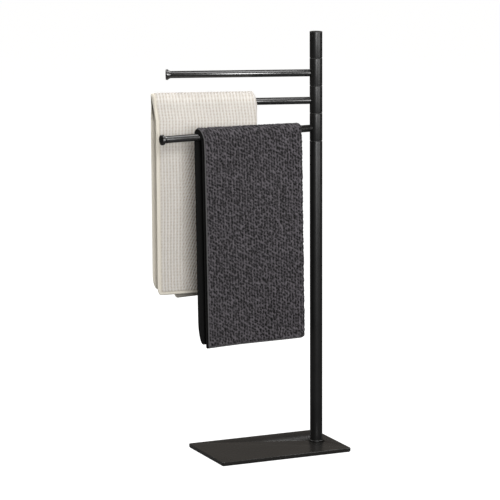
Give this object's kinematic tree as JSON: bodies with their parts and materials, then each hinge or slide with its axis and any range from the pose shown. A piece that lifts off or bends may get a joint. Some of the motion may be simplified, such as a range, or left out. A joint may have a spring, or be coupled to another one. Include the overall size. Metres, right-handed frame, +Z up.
{
  "type": "towel rack",
  "caption": "Freestanding towel rack: slim round post near one end of a flat rectangular base, with swivelling arms that end in round knobs and carry folded hand towels.",
  "frame": {"origin": "centre of the base's footprint, on the floor", "axes": "+Z up, +X towards the post's end of the base, -Y towards the front; at rest the arms reach towards -X"},
  "size_m": [0.4537, 0.2422, 1],
  "materials": {
    "base_coat": "matt powder coat, fine texture",
    "post_coat": "satin black powder coat",
    "arm_coat": "satin black lacquer, smoother than the post",
    "plain_steel": "plain zinc-plated steel",
    "nylon": "black nylon",
    "pad_rubber": "black anti-slip sheet",
    "beige_terry": "ribbed waffle terry cotton",
    "charcoal_terry": "bubbly terry cotton"
  },
  "bodies": {
    "stand": {"base_pad": "pad_rubber", "base_plate": "base_coat", "base_bolt": "plain_steel", "foot_insert": "plain_steel", "foot_ring": "post_coat", "lower_post": "post_coat", "spindle_plug": "plain_steel", "spindle": "plain_steel", "washer_1": "nylon", "washer_2": "nylon", "washer_3": "nylon", "washer_4": "nylon", "sleeve_insert": "plain_steel", "wave_washer": "plain_steel", "spindle_nut": "plain_steel", "top_sleeve": "post_coat", "top_cap": "post_coat"},
    "arm_1": {"collar_1": "post_coat", "bush_upper_1": "nylon", "bush_lower_1": "nylon", "arm_stud_1": "plain_steel", "arm_insert_1": "plain_steel", "arm_tube_1": "arm_coat", "arm_knob_1": "arm_coat"},
    "arm_2": {"collar_2": "post_coat", "bush_upper_2": "nylon", "bush_lower_2": "nylon", "arm_stud_2": "plain_steel", "arm_insert_2": "plain_steel", "arm_tube_2": "arm_coat", "arm_knob_2": "arm_coat", "towel_beige": "beige_terry"},
    "arm_3": {"collar_3": "post_coat", "bush_upper_3": "nylon", "bush_lower_3": "nylon", "arm_stud_3": "plain_steel", "arm_insert_3": "plain_steel", "arm_tube_3": "arm_coat", "arm_knob_3": "arm_coat", "towel_charcoal": "charcoal_terry"}
  },
  "joints": [
    {"name": "arm_1_swing", "type": "hinge", "parent": "stand", "child": "arm_1", "pos_m": [0.1235, 0, 0.902], "axis": [0, 0, 1], "continuous": true},
    {"name": "arm_2_swing", "type": "hinge", "parent": "stand", "child": "arm_2", "pos_m": [0.1235, 0, 0.8365], "axis": [0, 0, 1], "range_deg": [-180, 0]},
    {"name": "arm_3_swing", "type": "hinge", "parent": "stand", "child": "arm_3", "pos_m": [0.1235, 0, 0.771], "axis": [0, 0, 1], "range_deg": [0, 180]}
  ]
}
